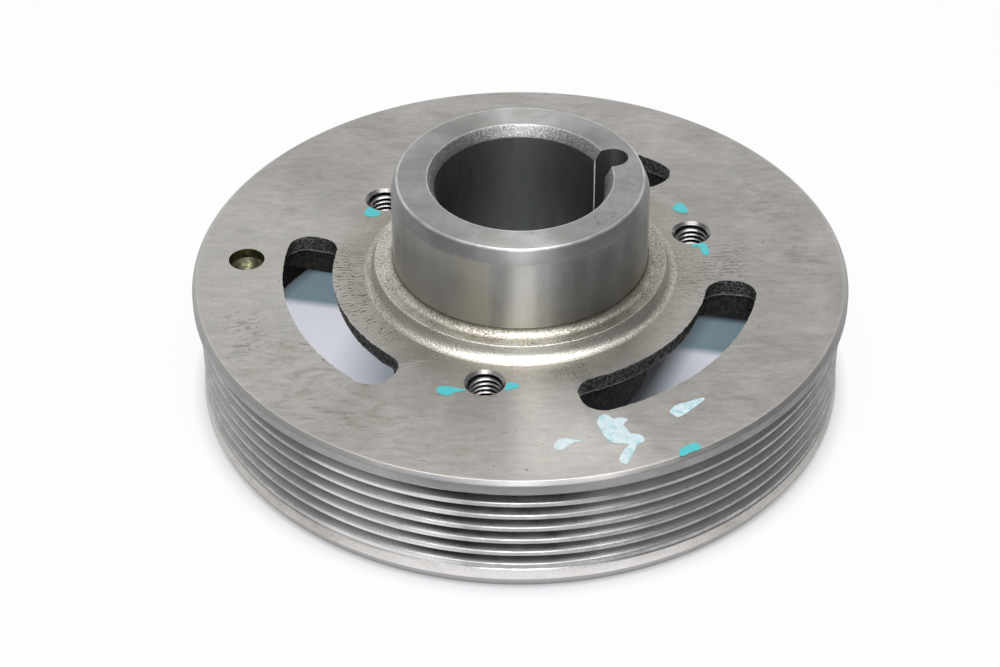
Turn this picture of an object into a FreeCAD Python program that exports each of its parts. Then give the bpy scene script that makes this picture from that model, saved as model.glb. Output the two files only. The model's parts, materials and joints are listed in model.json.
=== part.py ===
import FreeCAD, Part
import math
import os

# Belt pulley turned from one iron casting.
# The origin is the middle of the rim's lower face, +Z runs along the bore towards the long hub.
# Sizes are in millimetres, angles in degrees.

# Belt rim
rim_height = 32.0
ridge_radius = 76.0
groove_pitch = 3.56
groove_count = 6
groove_angle = 40.0
ridge_flat = 1.1
root_flat = 0.5
first_groove_depth = 5.9      # centre of the first groove below the web's face
rim_wall = 5.6                # metal between the groove roots and the hollow
rim_draft = 0.8               # how much wider the hollow is at its mouth

# Thin flange at the web's side of the grooves
flange_overhang = 1.5
flange_height = 3.0
flange_chamfer = 0.9

# Broad flange at the open side, left rough below a fine turned line
lower_land = 1.2
line_depth = 0.3
line_height = 0.5
lower_bulge = 0.4
lower_slope_height = 1.4
mouth_chamfer_drop = 2.4
mouth_chamfer_inset = 1.5
mouth_edge = 0.8

# Web with three spokes between three curved slots
web_thickness = 5.0
spoke_thickness = 11.0
rim_fillet = 5.0
slot_count = 3
slot_outer_radius = 56.2
slot_width = 11.8
slot_span = 69.0
slot_first_angle = 80.0       # middle of the slot behind the keyway
slot_corner = 5.0
slot_draft = 0.9              # how much wider the slot is below than above, each side
pocket_inner_radius = 38.0
pocket_outer_radius = 64.0
pocket_inner_corner = 11.0
pocket_outer_corner = 6.0
pocket_ledge = 0.4

# Hub
bore_radius = 20.0
bore_chamfer_inset = 1.6
bore_chamfer_drop = 2.7
rear_chamfer = 1.0
hub_radius = 30.0
hub_rise = 26.6               # above the web's face
hub_chamfer_inset = 1.3
hub_chamfer_drop = 3.3
hub_foot_fillet = 2.2
rear_boss_radius = 31.0
rear_boss_draft = 0.7
rear_boss_setback = 4.0       # from the rim's lower face to the hub's rear face
rear_boss_fillet = 6.0

# Turned seat round the hub's foot
seat_radius = 34.4
seat_rise = 3.5
seat_slope = 0.4
seat_fillet = 2.5

# Keyway, milled with a round end
key_width = 7.0
key_reach = 26.5
key_angle = 19.5

# Tapped puller holes, M8
tap_count = 3
tap_circle_radius = 43.7
tap_first_angle = 19.5
tap_drill_radius = 3.4
tap_sink_radius = 4.7

# Blind balance hole, drilled with a pointed drill
balance_radius_from_axis = 65.2
balance_angle = 176.8
balance_hole_radius = 4.25
balance_hole_depth = 2.6
drill_point_angle = 118.0

# How far a cutter runs past the faces that it cuts
past = 1.0

# Heights that follow from the sizes above
face_z = rim_height
hub_top_z = face_z + hub_rise
web_under_z = face_z - web_thickness
spoke_under_z = face_z - spoke_thickness
hub_rear_z = rear_boss_setback

axis = FreeCAD.Vector(0, 0, 1)
origin = FreeCAD.Vector(0, 0, 0)


def at(radius, height):
    """A point of the turning profile."""
    return FreeCAD.Vector(radius, 0, height)


def polar(radius, angle, height):
    """A point at a radius and an angle round the bore."""
    turn = math.radians(angle)
    return FreeCAD.Vector(radius * math.cos(turn), radius * math.sin(turn), height)


def arc(start, middle, end):
    return Part.Arc(start, middle, end).toShape()


def chain(points):
    """Straight edges through the points in turn."""
    return [Part.makeLine(a, b) for a, b in zip(points, points[1:])]


def quarter(start, end, centre):
    """A quarter arc from start to end round a centre of the profile."""
    radius = (start - centre).Length
    towards = (start - centre) + (end - centre)
    return arc(start, centre + towards.normalize() * radius, end)


def groove_root_radius():
    """The radius of the grooves' flat bottoms, from their width, angle and flats."""
    slant_width = (groove_pitch - ridge_flat - root_flat) / 2
    return ridge_radius - slant_width / math.tan(math.radians(groove_angle / 2))


def groove_points():
    """The belt grooves from the first flank down to the land below the last one."""
    half_top = (groove_pitch - ridge_flat) / 2
    root = groove_root_radius()
    points = []
    for index in range(groove_count):
        centre = face_z - first_groove_depth - index * groove_pitch
        points.append(at(ridge_radius, centre + half_top))
        points.append(at(root, centre + root_flat / 2))
        points.append(at(root, centre - root_flat / 2))
        points.append(at(ridge_radius, centre - half_top))
    return points


def rim_outside():
    """The rim's outline from the web's face down to the rim's lower face."""
    flange_radius = ridge_radius + flange_overhang
    bulge_radius = ridge_radius + lower_bulge
    grooves = groove_points()
    points = [at(flange_radius - flange_chamfer, face_z)]
    points.append(at(flange_radius, face_z - flange_chamfer))
    points.append(at(flange_radius, face_z - flange_height))
    points += grooves
    land_end = grooves[-1].z - lower_land
    slope_start = land_end - line_height
    points.append(at(ridge_radius, land_end))
    points.append(at(ridge_radius - line_depth, land_end - line_height / 2))
    points.append(at(ridge_radius, slope_start))
    points.append(at(bulge_radius, slope_start - lower_slope_height))
    points.append(at(bulge_radius, mouth_chamfer_drop))
    points.append(at(bulge_radius - mouth_chamfer_inset, 0))
    return points


def turned_body():
    """The whole body of revolution, with the full thickness of the spokes all round."""
    bore_top = bore_radius + bore_chamfer_inset
    hub_top_radius = hub_radius - hub_chamfer_inset
    foot_z = face_z + seat_rise
    foot_end = hub_radius + hub_foot_fillet
    seat_end = seat_radius + seat_slope
    inside = groove_root_radius() - rim_wall
    mouth = inside + rim_draft
    boss_root = rear_boss_radius + rear_boss_draft

    edges = chain([
        at(bore_radius + rear_chamfer, hub_rear_z),
        at(bore_radius, hub_rear_z + rear_chamfer),
        at(bore_radius, hub_top_z - bore_chamfer_drop),
        at(bore_top, hub_top_z),
        at(hub_top_radius, hub_top_z),
        at(hub_radius, hub_top_z - hub_chamfer_drop),
        at(hub_radius, foot_z + hub_foot_fillet),
    ])
    edges.append(quarter(at(hub_radius, foot_z + hub_foot_fillet), at(foot_end, foot_z),
                         at(foot_end, foot_z + hub_foot_fillet)))
    edges += chain([
        at(foot_end, foot_z),
        at(seat_radius, foot_z),
        at(seat_end, face_z + seat_fillet),
    ])
    edges.append(quarter(at(seat_end, face_z + seat_fillet), at(seat_end + seat_fillet, face_z),
                         at(seat_end + seat_fillet, face_z + seat_fillet)))
    outside = rim_outside()
    edges += chain([at(seat_end + seat_fillet, face_z)] + outside)
    edges += chain([
        outside[-1],
        at(mouth + mouth_edge, 0),
        at(mouth, mouth_edge),
        at(inside, spoke_under_z - rim_fillet),
    ])
    edges.append(quarter(at(inside, spoke_under_z - rim_fillet),
                         at(inside - rim_fillet, spoke_under_z),
                         at(inside - rim_fillet, spoke_under_z - rim_fillet)))
    edges += chain([
        at(inside - rim_fillet, spoke_under_z),
        at(boss_root + rear_boss_fillet, spoke_under_z),
    ])
    edges.append(quarter(at(boss_root + rear_boss_fillet, spoke_under_z),
                         at(boss_root, spoke_under_z - rear_boss_fillet),
                         at(boss_root + rear_boss_fillet, spoke_under_z - rear_boss_fillet)))
    edges += chain([
        at(boss_root, spoke_under_z - rear_boss_fillet),
        at(rear_boss_radius, hub_rear_z + rear_chamfer),
        at(rear_boss_radius - rear_chamfer, hub_rear_z),
        at(bore_radius + rear_chamfer, hub_rear_z),
    ])
    profile = Part.Face(Part.Wire(edges))
    return profile.revolve(origin, axis, 360)


def kidney(inner, outer, half_span, inner_corner, outer_corner, middle, height):
    """A curved slot's outline: two arcs round the bore, two radial ends and four rounded corners."""
    def corner(side, ring, radius, sign):
        """Tangent points and middle point of one rounded corner."""
        reach = ring + sign * radius
        lean = math.degrees(math.asin(radius / reach))
        end_angle = middle + side * half_span
        centre_angle = end_angle - side * lean
        centre = polar(reach, centre_angle, height)
        on_ring = polar(ring, centre_angle, height)
        on_end = polar(math.sqrt(reach ** 2 - radius ** 2), end_angle, height)
        towards = (on_ring - centre) + (on_end - centre)
        return on_ring, centre + towards.normalize() * radius, on_end

    outer_left = corner(1, outer, outer_corner, -1)
    outer_right = corner(-1, outer, outer_corner, -1)
    inner_left = corner(1, inner, inner_corner, 1)
    inner_right = corner(-1, inner, inner_corner, 1)
    edges = [
        arc(outer_right[0], polar(outer, middle, height), outer_left[0]),
        arc(*outer_left),
        Part.makeLine(outer_left[2], inner_left[2]),
        arc(inner_left[2], inner_left[1], inner_left[0]),
        arc(inner_left[0], polar(inner, middle, height), inner_right[0]),
        arc(*inner_right),
        Part.makeLine(inner_right[2], outer_right[2]),
        arc(outer_right[2], outer_right[1], outer_right[0]),
    ]
    return Part.Wire(edges)


def slot_outline(middle, height):
    """The slot's outline at a height: the cast walls open out towards the hollow side."""
    widen = slot_draft * (face_z - height) / web_thickness
    half_span = slot_span / 2 + math.degrees(widen / slot_outer_radius)
    inner = slot_outer_radius - slot_width - widen
    return kidney(inner, slot_outer_radius + widen, half_span, slot_corner, slot_corner, middle, height)


def slot_cutter(middle):
    """One curved slot, and the pocket under it that thins the web between two spokes."""
    mouth = slot_outline(middle, face_z + past)
    throat = slot_outline(middle, web_under_z - past)
    slot = Part.makeLoft([mouth, throat], True, True)
    ledge = slot_draft + pocket_ledge
    half_span = slot_span / 2 + math.degrees(ledge / slot_outer_radius)
    outline = kidney(pocket_inner_radius, pocket_outer_radius, half_span,
                     pocket_inner_corner, pocket_outer_corner, middle, spoke_under_z - rim_fillet - past)
    depth = web_under_z - (spoke_under_z - rim_fillet - past)
    pocket = Part.Face(outline).extrude(axis * depth)
    return slot.fuse(pocket)


def keyway_cutter():
    """A slot along the bore with a round bottom, turned to its angle."""
    half = key_width / 2
    length = hub_top_z - hub_rear_z + 2 * past
    centre = key_reach - half
    channel = Part.makeBox(centre, key_width, length, FreeCAD.Vector(0, -half, hub_rear_z - past))
    end = Part.makeCylinder(half, length, FreeCAD.Vector(centre, 0, hub_rear_z - past))
    cutter = channel.fuse(end).removeSplitter()
    cutter.rotate(origin, axis, key_angle)
    return cutter


def tapped_hole_cutter(angle):
    """A drilled hole through a spoke with a 90 degree countersink above."""
    sink_depth = tap_sink_radius - tap_drill_radius
    place = polar(tap_circle_radius, angle, spoke_under_z - past)
    drill = Part.makeCylinder(tap_drill_radius, spoke_thickness + 2 * past, place)
    sink_place = polar(tap_circle_radius, angle, face_z - sink_depth)
    sink = Part.makeCone(tap_drill_radius, tap_sink_radius + past, sink_depth + past, sink_place)
    return drill.fuse(sink)


def balance_hole_cutter():
    """The blind hole with the drill's pointed end."""
    point_height = balance_hole_radius / math.tan(math.radians(drill_point_angle / 2))
    shoulder_z = face_z - balance_hole_depth
    shoulder = polar(balance_radius_from_axis, balance_angle, shoulder_z)
    shank = Part.makeCylinder(balance_hole_radius, balance_hole_depth + past, shoulder)
    tip = polar(balance_radius_from_axis, balance_angle, shoulder_z - point_height)
    point = Part.makeCone(0, balance_hole_radius, point_height, tip)
    return shank.fuse(point)


def pulley():
    """The finished pulley: the turned body less its slots, keyway and holes."""
    body = turned_body()
    cutters = [slot_cutter(slot_first_angle + index * 360 / slot_count) for index in range(slot_count)]
    cutters += [tapped_hole_cutter(tap_first_angle + index * 360 / tap_count) for index in range(tap_count)]
    cutters.append(keyway_cutter())
    cutters.append(balance_hole_cutter())
    for cutter in cutters:
        body = body.cut(cutter)
    return body.removeSplitter()


os.makedirs("parts", exist_ok=True)
part = pulley()
if part.ShapeType != "Solid":
    part = part.Solids[0]
print("valid", part.isValid(), "solids", len(part.Solids), "volume", round(part.Volume, 1))
print("box", part.BoundBox)
part.exportStep("parts/pulley.step")
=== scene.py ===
import json
import math

import bmesh
import bpy
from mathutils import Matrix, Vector, noise

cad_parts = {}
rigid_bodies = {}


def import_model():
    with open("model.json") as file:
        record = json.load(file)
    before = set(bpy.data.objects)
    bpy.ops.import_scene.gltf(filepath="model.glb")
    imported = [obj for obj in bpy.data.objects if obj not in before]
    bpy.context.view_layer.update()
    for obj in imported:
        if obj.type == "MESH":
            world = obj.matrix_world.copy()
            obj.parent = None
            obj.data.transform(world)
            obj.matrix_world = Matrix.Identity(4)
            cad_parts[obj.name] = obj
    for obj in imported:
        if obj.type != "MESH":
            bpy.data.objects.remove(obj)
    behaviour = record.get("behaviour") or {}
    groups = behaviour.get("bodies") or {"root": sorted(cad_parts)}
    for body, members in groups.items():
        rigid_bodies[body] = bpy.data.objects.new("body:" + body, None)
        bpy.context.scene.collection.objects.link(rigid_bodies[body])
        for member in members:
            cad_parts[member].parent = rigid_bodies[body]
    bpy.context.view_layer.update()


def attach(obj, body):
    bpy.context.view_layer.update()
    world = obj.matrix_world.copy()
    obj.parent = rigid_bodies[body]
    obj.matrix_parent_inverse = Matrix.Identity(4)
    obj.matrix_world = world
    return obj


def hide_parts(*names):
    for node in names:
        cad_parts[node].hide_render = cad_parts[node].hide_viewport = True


# The belt pulley as it looks: turned, bored, slotted, drilled and tapped from one rough iron casting.
# Sizes are in millimetres and angles in degrees, in the frame's own axes, and become metres in the meshes.

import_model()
mm = 0.001
scene = bpy.context.scene


# Small tools

def polar(radius, angle, height=0.0):
    turn = math.radians(angle)
    return Vector((radius * math.cos(turn), radius * math.sin(turn), height))


def turnedBy(point, turn):
    # the point turned round the origin in its own plane, turn in radians
    return Vector((point.x * math.cos(turn) - point.y * math.sin(turn),
                   point.x * math.sin(turn) + point.y * math.cos(turn), 0.0))


def makeObject(name, mesh, finishes=()):
    thing = bpy.data.objects.new(name, mesh)
    scene.collection.objects.link(thing)
    for finish in finishes:
        mesh.materials.append(finish)
    return thing


def dropObject(thing):
    bpy.data.objects.remove(thing, do_unlink=True)


def evaluatedMesh(thing):
    bpy.context.view_layer.update()
    graph = bpy.context.evaluated_depsgraph_get()
    return bpy.data.meshes.new_from_object(thing.evaluated_get(graph))


def recalcNormals(mesh):
    work = bmesh.new()
    work.from_mesh(mesh)
    bmesh.ops.recalc_face_normals(work, faces=work.faces)
    work.to_mesh(mesh)
    work.free()


def smoothMesh(mesh, sharpAngle=None):
    mesh.polygons.foreach_set("use_smooth", [True] * len(mesh.polygons))
    if sharpAngle:
        mesh.set_sharp_from_angle(angle=math.radians(sharpAngle))


class Nodes:
    # writes one node tree: add(kind, {socket: a value, another node's socket, or a node for its first output},
    # setting=value) puts a node in

    def __init__(self, tree):
        self.tree = tree

    def add(self, kind, inputs=None, **settings):
        node = self.tree.nodes.new(kind)
        for name, value in settings.items():
            setattr(node, name, value)
        for name, value in (inputs or {}).items():
            value = value.outputs[0] if isinstance(value, bpy.types.Node) else value
            if isinstance(value, bpy.types.NodeSocket):
                self.tree.links.new(value, node.inputs[name])
            else:
                node.inputs[name].default_value = value
        return node

    def calc(self, operation, first, second=0.0):
        return self.add("ShaderNodeMath", {0: first, 1: second}, operation=operation).outputs[0]

    def times(self, product, *factors):
        for factor in factors:
            product = self.calc("MULTIPLY", product, factor)
        return product

    def dot(self, first, second):
        return self.add("ShaderNodeVectorMath", {0: first, 1: second}, operation="DOT_PRODUCT").outputs["Value"]

    def spread(self, value, low, high, toLow=0.0, toHigh=1.0):
        limits = {"Value": value, "From Min": low, "From Max": high, "To Min": toLow, "To Max": toHigh}
        return self.add("ShaderNodeMapRange", limits, clamp=True).outputs[0]

    def lift(self, mask, toLow, toHigh):
        return self.spread(mask, 0.0, 1.0, toLow, toHigh)

    def band(self, value, low, full, fading, gone):
        # 1 between full and fading, 0 up to low and from gone on
        return self.times(self.spread(value, low, full), self.spread(value, fading, gone, 1.0, 0.0))

    def roundBore(self, place):
        # distance from the bore's axis, angle round it in radians, and height
        parts = self.add("ShaderNodeSeparateXYZ", {0: place}).outputs
        flat = self.add("ShaderNodeCombineXYZ", {0: parts[0], 1: parts[1]})
        radius = self.add("ShaderNodeVectorMath", {0: flat}, operation="LENGTH").outputs["Value"]
        return radius, self.calc("ARCTAN2", parts[1], parts[0]), parts[2]


def startTree(name, values):
    # a geometry tree with a named input for each of the values
    tree = bpy.data.node_groups.new(name, "GeometryNodeTree")
    kinds = {int: "NodeSocketInt", float: "NodeSocketFloat", bpy.types.Material: "NodeSocketMaterial"}
    tree.interface.new_socket("Geometry", in_out="INPUT", socket_type="NodeSocketGeometry")
    for label, value in values.items():
        tree.interface.new_socket(label, in_out="INPUT", socket_type=kinds[type(value)]).default_value = value
    tree.interface.new_socket("Geometry", in_out="OUTPUT", socket_type="NodeSocketGeometry")
    nodes = Nodes(tree)
    return nodes, nodes.add("NodeGroupInput").outputs


def endTree(nodes, geometry, finish):
    real = nodes.add("GeometryNodeRealizeInstances", {"Geometry": geometry})
    painted = nodes.add("GeometryNodeSetMaterial", {"Geometry": real, "Material": finish})
    nodes.add("NodeGroupOutput", {0: painted})
    return nodes.tree


def runTree(thing, tree, values):
    # sets the inputs by identifier, gives the result as a plain mesh and takes the modifier off
    modifier = thing.modifiers.new(tree.name, "NODES")
    modifier.node_group = tree
    for item in tree.interface.items_tree:
        if item.in_out == "INPUT" and item.name in values:
            modifier[item.identifier] = values[item.name]
    mesh = evaluatedMesh(thing)
    thing.modifiers.remove(modifier)
    return mesh


class Finish(Nodes):
    # one material on Object coordinates in millimetres, tone laid over tone and relief over relief
    # look holds its tones by name and its other values

    def __init__(self, name, look):
        self.material = bpy.data.materials.new(name)
        self.material.use_nodes = True
        super().__init__(self.material.node_tree)
        self.tree.nodes.clear()
        self.look = look
        self.normal = None
        spot = self.add("ShaderNodeTexCoord").outputs["Object"]
        self.place = self.add("ShaderNodeVectorMath", {0: spot, 3: 1 / mm}, operation="SCALE").outputs[0]
        self.radius, self.angle, self.height = self.roundBore(self.place)

    def mix(self, factor, first, second, mode="MIX"):
        # first and second are tones by name, colours or sockets
        pair = [self.look[tone] if isinstance(tone, str) else tone for tone in (first, second)]
        pair = [tone if isinstance(tone, bpy.types.NodeSocket) else (*tone, 1.0) for tone in pair]
        inputs = {0: factor, 6: pair[0], 7: pair[1]}
        return self.add("ShaderNodeMix", inputs, data_type="RGBA", blend_type=mode).outputs[2]

    def base(self, mask):
        self.colour = self.mix(mask, "shade", "light")

    def over(self, tone, *masks):
        # lays a tone over the colour so far, as strongly as the masks and numbers multiplied
        self.colour = self.mix(self.times(*masks), self.colour, tone)

    def shadeBy(self, amount, mask, dark=(0.2, 0.2, 0.2), light=(0.8, 0.8, 0.8)):
        # darkens and lightens the colour so far
        self.colour = self.mix(amount, self.colour, self.mix(mask, dark, light), "OVERLAY")

    def grain(self, size, detail=3.0, rough=0.55, stretch=None, offset=0.0, warp=0.0):
        # soft noise with lumps about size mm across
        place = self.place
        if stretch or offset:
            moved = {"Vector": place, "Location": (offset,) * 3, "Scale": stretch or (1.0, 1.0, 1.0)}
            place = self.add("ShaderNodeMapping", moved)
        inputs = {"Vector": place, "Scale": 1 / size, "Detail": detail, "Roughness": rough, "Distortion": warp}
        return self.add("ShaderNodeTexNoise", inputs).outputs["Fac"]

    def gloss(self, mask):
        return self.lift(mask, *self.look["gloss"])

    def lumps(self, name):
        # one of the look's noises as a mask
        low, high, *noise = self.look["noise"][name]
        return self.spread(self.grain(*noise), low, high)

    def rings(self, size, along=None, detail=2.0):
        # lines left by the turning tool: noise that changes only along the radius, the height or both
        along = along or self.calc("ADD", self.radius, self.height)
        inputs = {"W": along, "Scale": 1 / size, "Detail": detail, "Roughness": 0.6}
        return self.add("ShaderNodeTexNoise", inputs, noise_dimensions="1D").outputs["Fac"]

    def apartFrom(self, point):
        return self.add("ShaderNodeVectorMath", {0: self.place, 1: point}, operation="SUBTRACT")

    def cosine(self, angle):
        # cosine of how far round the bore a place is from the given angle
        return self.calc("DIVIDE", self.dot(self.place, polar(1.0, angle)), self.radius)

    def patch(self, middle, half, inner, outer, soft=4.0):
        # 1 inside a patch given by its middle and half angle and its radii, fading over soft mm
        edge, core = (math.cos(math.radians(half * share)) for share in (1.0, 0.55))
        within = self.band(self.radius, inner - soft, inner + soft, outer - soft, outer + soft)
        return self.times(self.spread(self.cosine(middle), edge, core), within)

    def patches(self, name, soft, least=0.0):
        # the strongest of the patches that the look lists, each with its strength last
        strongest = least
        for *edges, strength in self.look[name]:
            strongest = self.calc("MAXIMUM", self.times(self.patch(*edges, soft), strength), strongest)
        return strongest

    def relief(self, height, depth):
        # depth in mm, over the reliefs so far
        inputs = {"Height": height, "Strength": 1.0, "Distance": depth * mm}
        if self.normal:
            inputs["Normal"] = self.normal
        self.normal = self.add("ShaderNodeBump", inputs)

    def done(self, gloss, metallic=1.0, brushed=0.0):
        inputs = {"Base Color": self.colour, "Metallic": metallic, "Roughness": gloss, "Normal": self.normal}
        if brushed:
            # light runs across the turning lines, which go round the bore
            inputs["Anisotropic"] = brushed
            inputs["Anisotropic Rotation"] = 0.25
            inputs["Tangent"] = self.add("ShaderNodeTangent", direction_type="RADIAL", axis="Z")
        self.add("ShaderNodeOutputMaterial", {"Surface": self.add("ShaderNodeBsdfPrincipled", inputs)})
        return self.material


# Web's turned face, stained and handled
# In every look, gloss is the roughness where the finish's main noise is lowest and where it is highest.
# A noise says where its mask starts and where it is full, then its size, detail, roughness, stretch, shift, warp.

faceLook = {
    "light": (0.415, 0.40, 0.385), "shade": (0.355, 0.343, 0.325), "olive": (0.20, 0.19, 0.145),
    "tarnish": (0.26, 0.235, 0.165), "grime": (0.27, 0.245, 0.185), "pit": (0.10, 0.095, 0.075),
    "clean": (0.53, 0.515, 0.485), "scratch": (0.62, 0.61, 0.59), "edge": (0.70, 0.69, 0.67),
    "gloss": (0.48, 0.38), "speckSize": 0.8, "ringSize": 0.45,
    "noise": {"clouds": (0.36, 0.64, 20.0, 5.0, 0.6, None, 0.0, 0.8),
              "olive": (0.46, 0.68, 13.0, 5.0, 0.65, (0.6, 1.3, 1.0), 55.0, 1.0),
              "smears": (0.47, 0.74, 9.0, 7.0, 0.68, (0.7, 1.3, 1.0), 31.0, 1.6),
              "rubs": (0.58, 0.68, 3.2, 6.0, 0.72, (0.45, 1.5, 1.0), 77.0, 1.2),
              "mottle": (0.3, 0.7, 2.4, 5.0, 0.75, (0.45, 1.5, 1.0), 21.0),
              "grime": (0.40, 0.56, 0.55, 4.0, 0.75, None, 7.0), "breaks": (0.42, 0.54, 1.6, 2.0, 0.55, None, 9.0),
              "handling": (0.735, 0.765, 1.0, 1.0, 0.4, (0.07, 2.6, 1.0), 12.0)},
    # middle and half angle, inner and outer radius of each patch, then its strength
    "stains": [(-134, 26, 54, 76, 1.0), (-104, 13, 62, 77, 0.6), (-38, 20, 56, 74, 0.6), (14, 22, 60, 72, 1.0),
               (95, 45, 48, 76, 0.35), (150, 26, 50, 70, 0.4)],
    "chatter": [(-171, 25, 36.8, 45.0, 1.0), (-148, 13, 34.0, 42.0, 0.9), (-159, 8, 63.0, 72.0, 0.45),
                (-3, 17, 36.0, 54.0, 0.6), (-72, 9, 38.0, 45.0, 0.4)],
    "chatterLines": 228,
    # the same for each lighter or darker patch, with its tone before its strength
    "tonePatches": [(188, 44, 46, 84, "clean", 0.5), (-79, 14, 42, 76, "clean", 0.85), (-99, 9, 50, 80, "shade", 0.7)],
    # ends of two fine light scratches beside the left slot
    "scratches": [((-27.9, -37.0), (-21.6, -35.2)), ((-27.0, -37.9), (-22.4, -36.2))], "scratchWidth": 0.22,
}


def scratchMask(iron, start, end, width):
    # 1 on a straight scratch from start to end
    start, end = Vector((*start, 0.0)), Vector((*end, 0.0))
    length = (end - start).length
    along = (end - start) / length
    apart = iron.apartFrom(start)
    inside = iron.band(iron.dot(apart, along), 0.0, 0.5, length - 0.5, length)
    off = iron.calc("ABSOLUTE", iron.dot(apart, Vector((-along.y, along.x, 0.0))))
    return iron.times(inside, iron.spread(off, width * 0.4, width, 1.0, 0.0))


def layFaceIron(iron, look):
    clouds = iron.lumps("clouds")
    iron.base(clouds)
    iron.over("olive", iron.lumps("olive"), 0.24)
    # lighter and darker patches round the face, by angle
    for *edges, tone, strength in look["tonePatches"]:
        iron.over(tone, iron.patch(*edges, 8.0), strength)
    # smears and small dark rubs keep mostly to the stained patches
    stained = iron.patches("stains", 6.0, 0.14)
    smears = iron.times(iron.lumps("smears"), stained)
    iron.over("olive", smears, 0.75)
    iron.over("pit", iron.lumps("rubs"), iron.calc("MINIMUM", iron.times(stained, 1.4), 1.0), 0.5)
    iron.shadeBy(0.30, iron.lumps("mottle"), (0.3, 0.3, 0.29), (0.7, 0.7, 0.7))
    # browned and grainy towards the hub's foot
    nearFoot = iron.spread(iron.radius, 37.0, 46.5, 1.0, 0.0)
    iron.over("tarnish", nearFoot, 0.05)
    iron.over("grime", nearFoot, iron.lumps("grime"), 0.75)
    # chatter of the turning tool in patches: broken, wobbling lines across the turning
    wobble = iron.times(iron.grain(2.8, 3.0, 0.6, offset=3.0), 18.0)
    wave = iron.calc("SINE", iron.calc("ADD", iron.times(iron.angle, look["chatterLines"]), wobble))
    chatter = iron.times(iron.spread(wave, 0.1, 0.8), iron.lumps("breaks"), iron.patches("chatter", 2.0))
    iron.over("pit", chatter, 0.85)
    # pores and dark flecks of the iron, thicker in some places
    crowd = iron.spread(iron.grain(9.0, 3.0, offset=44.0), 0.35, 0.65, 0.76, 0.67)
    specks = iron.calc("SUBTRACT", iron.grain(look["speckSize"], 2.0, 0.5, offset=15.0), crowd)
    specks = iron.spread(specks, 0.0, 0.06)
    iron.over("pit", specks, 0.65)
    # handling scratches, light and thin
    marks = iron.lumps("handling")
    for start, end in look["scratches"]:
        marks = iron.calc("MAXIMUM", scratchMask(iron, start, end, look["scratchWidth"]), marks)
    iron.over("scratch", marks, 0.5)
    # a light line along the outer edge, worn and painted as a highlight
    iron.over("edge", iron.spread(iron.radius, 76.15, 76.4), 0.25)
    rings = iron.rings(look["ringSize"], iron.radius)
    iron.shadeBy(0.10, rings)
    gloss = iron.calc("ADD", iron.gloss(clouds), iron.times(smears, 0.08))
    iron.relief(rings, 0.004)
    iron.relief(iron.grain(0.5, 4.0, 0.75), 0.010)
    iron.relief(iron.calc("ADD", chatter, specks), -0.07)
    return iron.done(gloss, brushed=0.3)


# Hub: fine turned steel-grey iron, cleaner than the web

hubLook = {
    "light": (0.375, 0.375, 0.378), "shade": (0.29, 0.285, 0.275), "warm": (0.42, 0.385, 0.305),
    "pale": (0.56, 0.545, 0.52), "dull": (0.17, 0.17, 0.17), "edge": (0.85, 0.85, 0.85),
    "nick": (0.18, 0.17, 0.16), "scuff": (0.07, 0.07, 0.07), "pit": (0.16, 0.16, 0.16), "sand": (0.5, 0.5, 0.5),
    "gloss": (0.34, 0.44), "ringSize": 0.25, "sandSize": 0.45,
    "noise": {"clouds": (0.4, 0.62, 9.0, 4.0, 0.6, (1.0, 1.0, 0.5)),
              "nicks": (0.70, 0.76, 1.6, 3.0, 0.6, (1.0, 1.0, 2.0), 5.0),
              "scuffed": (0.5, 0.6, 1.5, 6.0, 0.75, None, 52.0, 0.8)},
    # middle and half angle, tone and strength of each painted reflection band down the wall
    "reflectionBands": [(-132, 30, "pale", 0.45), (-111, 10, "warm", 0.55), (-57, 16, "dull", 0.36), (-88, 6, "pale", 0.3),
              (-72, 5, "dull", 0.15), (-100, 4, "dull", 0.15)],
    # middle and half angle, inner and outer radius and strength of each scuff on the end face
    "scuffs": [(-39, 10, 23.3, 26.6, 1.0), (-86, 5, 22.4, 23.2, 1.0), (-8, 12, 24.0, 27.5, 0.5)],
}


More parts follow.
